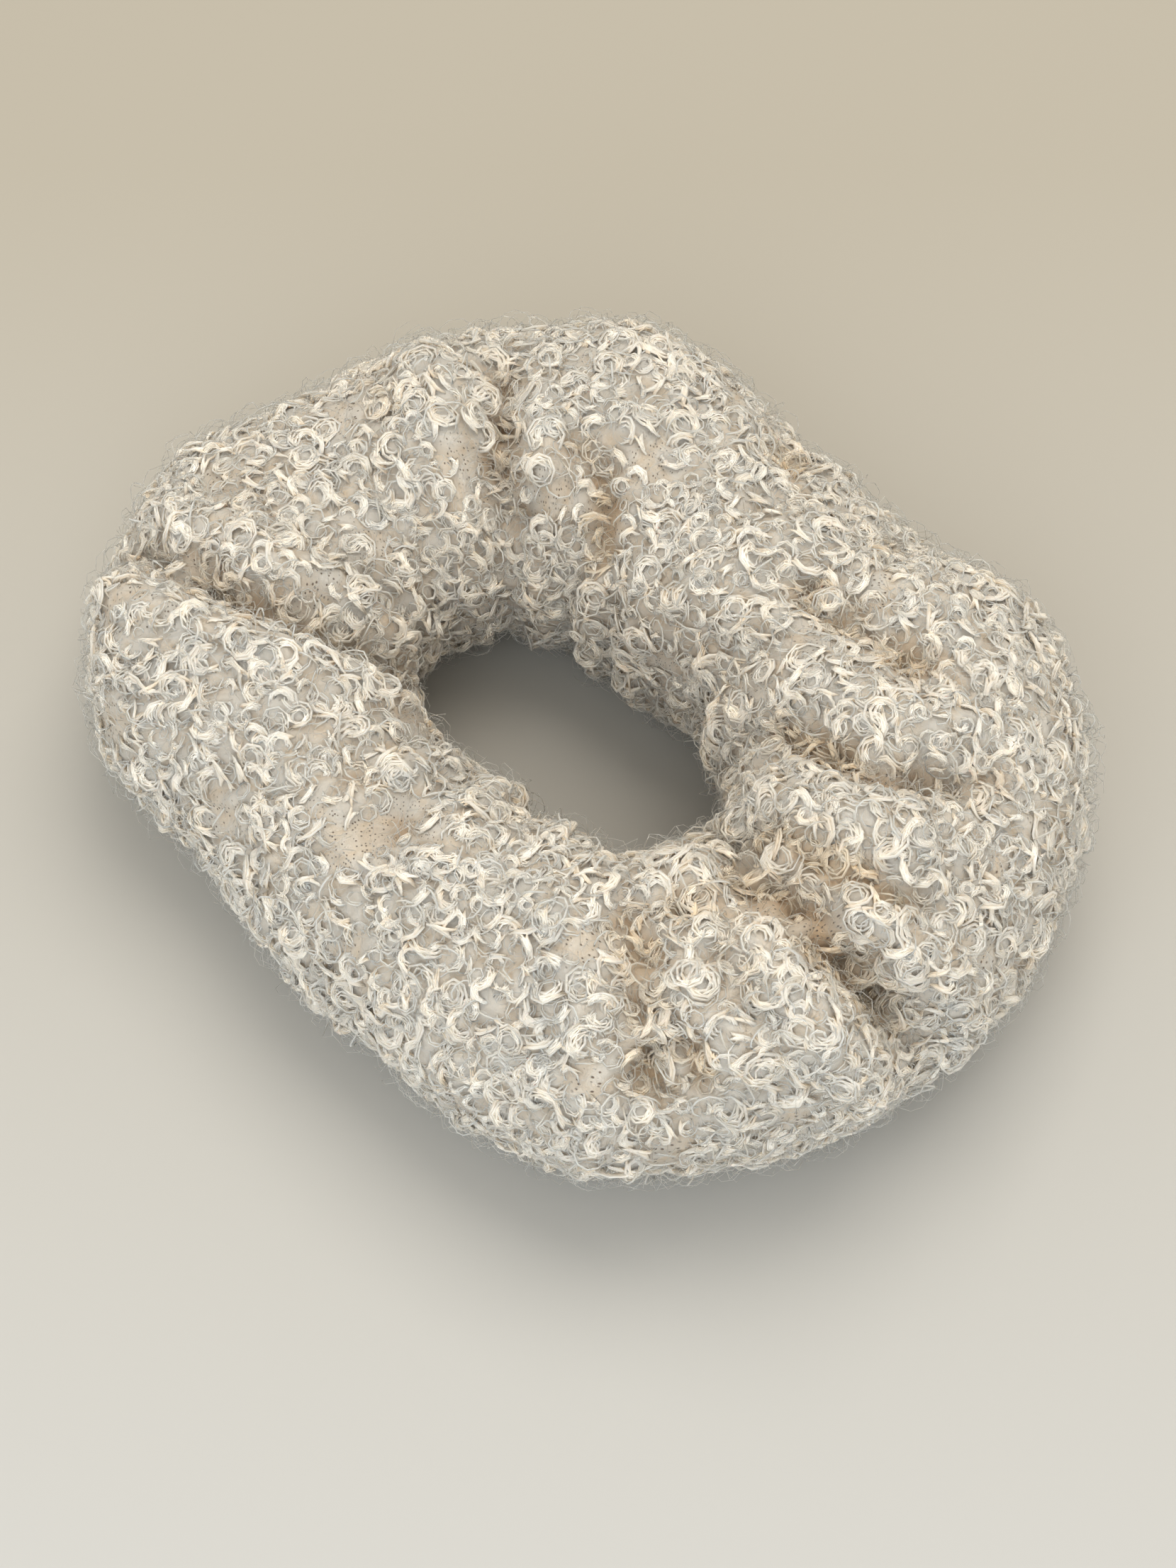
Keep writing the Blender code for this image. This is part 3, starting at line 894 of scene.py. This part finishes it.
def runningStitch(pitch):
    t = np.linspace(0, 1, threads["steps"] + 1)
    lift = threads["rise"] * np.sin(math.pi * t) - threads["rise"] / 2
    return stitchShape("runningStitch", np.stack([pitch * (t - 0.5), threads["slant"] * (t - 0.5), lift], -1))


def innerLine(angles, reaches):
    # a line inside the tube at the seam's height, and the way out from the ring's middle at each point
    line = [placed(a, reach, ring["seamHeight"]) for a, reach in zip(angles, reaches)]
    further = [placed(a, reach + 1, ring["seamHeight"]) for a, reach in zip(angles, reaches)]
    return line, [b - a for a, b in zip(line, further)]


def makeJoinThread():
    # whip stitches round both layers of the lap
    lap = elastic["lapLength"] / float(bandReach(elastic["lapStart"]))
    angles = elastic["lapStart"] + lap * np.linspace(0.2, 0.8, 13)
    line, outward = innerLine(angles, bandReach(angles) + elastic["thickness"] + elastic["gap"] / 2)
    pitch = 0.6 * elastic["lapLength"] / (threads["whipTurns"] - 1)
    t = np.linspace(0, 1, 25)
    out, up = np.cos(tau * t), np.sin(tau * t)
    out = np.copysign(abs(out) ** 0.5, out) * (elastic["thickness"] + threads["whipClear"])
    up = np.copysign(abs(up) ** 0.5, up) * (elastic["width"] / 2 + threads["whipEdge"])
    whip = stitchShape("whipStitch", np.stack([pitch * (t - 0.5), up, out], -1))
    return sew("elasticJoinStitches", line, outward, False, pitch, whip)


def makeLongSeam():
    # a running stitch the whole way round the tube's inside edge
    angles = np.linspace(0, tau, 180, endpoint=False)
    line, outward = innerLine(angles, ringValue(0, angles) + threads["longSeamInset"])
    pitch = threads["seamPitch"]
    return sew("longSeamThread", line, outward, True, pitch, runningStitch(pitch))


def makeClosingSeam():
    # the same stitch round the tube, where its two ends are joined
    turns = np.linspace(0, tau, 90, endpoint=False)
    deep = cover["inset"] + threads["closingSeamInset"]
    shallow = deep - 1
    line = [ringPoint(math.pi / 2, turn, deep, deep) for turn in turns]
    outward = [ringPoint(math.pi / 2, turn, shallow, shallow) - p for turn, p in zip(turns, line)]
    pitch = threads["seamPitch"]
    return sew("closingSeamThread", line, outward, True, pitch, runningStitch(pitch))


elasticBand = makeElastic()
joinThread = makeJoinThread()
longSeam = makeLongSeam()
closingSeam = makeClosingSeam()
say("elastic and threads made")


# bake each piece into place, and hide the frame's parts that they stand for
soft = [knitCover, elasticBand, joinThread, longSeam, closingSeam] + pile
for piece in soft:
    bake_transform(piece)
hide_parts("cover_left", "cover_right")
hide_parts("elastic_band")
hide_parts("elastic_join_thread")
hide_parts("long_seam_thread")
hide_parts("closing_seam_thread")


# table, light and camera
studio = {
    # the table's two colours paint shade: darker and warmer towards the back, for the light falling off there
    "tableFront": (0.59, 0.592, 0.59, 1), "tableBackShade": (0.49, 0.458, 0.395, 1),
    "tableReach": 20, "tableBlend": 0.12, "tableRoughness": 0.7,
    "target": (0.0013, -0.011, 0.021), "distance": 0.46, "elevation": 57.0, "lens": 105.1,
    "world": (1.0, 0.935, 0.81, 1), "worldStrength": 0.64,
    "lamps": [  # name, place, what it points at, size, power, colour
        ("windowLamp", (0.22, 0.38, 1.36), (0, 0, 0.02), 1.0, 9.2, (1.0, 0.945, 0.85)),
        ("fillLamp", (-0.15, -0.6, 0.5), (0, -0.12, 0), 0.6, 2.4, (0.84, 0.93, 1.0)),
    ],
}


def makeStudio():
    finish, tree, shader = blankMaterial("tableTop", studio["tableRoughness"])
    where = node(tree, "ShaderNodeTexCoord").outputs["Object"]
    place = node(tree, "ShaderNodeSeparateXYZ", {0: where}).outputs
    # painted shade: the table's colour goes darker and warmer towards the back
    back = spread(tree, place[1], -studio["tableBlend"], studio["tableBlend"])
    tree.links.new(blendColours(tree, back, studio["tableFront"], studio["tableBackShade"]),
                   shader.inputs["Base Color"])
    far = studio["tableReach"]
    corners = [(-far, -far, 0), (far, -far, 0), (far, far, 0), (-far, far, 0)]
    table = meshObject("table", corners, [(0, 1, 2, 3)], finish, False)
    for name, place, target, size, power, colour in studio["lamps"]:
        lamp = bpy.data.lights.new(name, "AREA")
        lamp.size = size
        lamp.energy = power
        lamp.color = colour
        aimedObject(name, lamp, place, target)
    world = bpy.data.worlds.new("room")
    world.use_nodes = True
    world.node_tree.nodes["Background"].inputs[0].default_value = studio["world"]
    world.node_tree.nodes["Background"].inputs[1].default_value = studio["worldStrength"]
    bpy.context.scene.world = world
    bpy.context.scene.view_settings.view_transform = "Standard"
    camera = bpy.data.cameras.new("camera")
    camera.sensor_fit = "HORIZONTAL"
    camera.sensor_width = 36
    camera.lens = studio["lens"]
    camera.clip_start = 0.01
    lift = math.radians(studio["elevation"])
    target = Vector(studio["target"])
    place = target + studio["distance"] * Vector((0, -math.cos(lift), math.sin(lift)))
    bpy.context.scene.camera = aimedObject("camera", camera, place, target)


makeStudio()
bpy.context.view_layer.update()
say("ready")
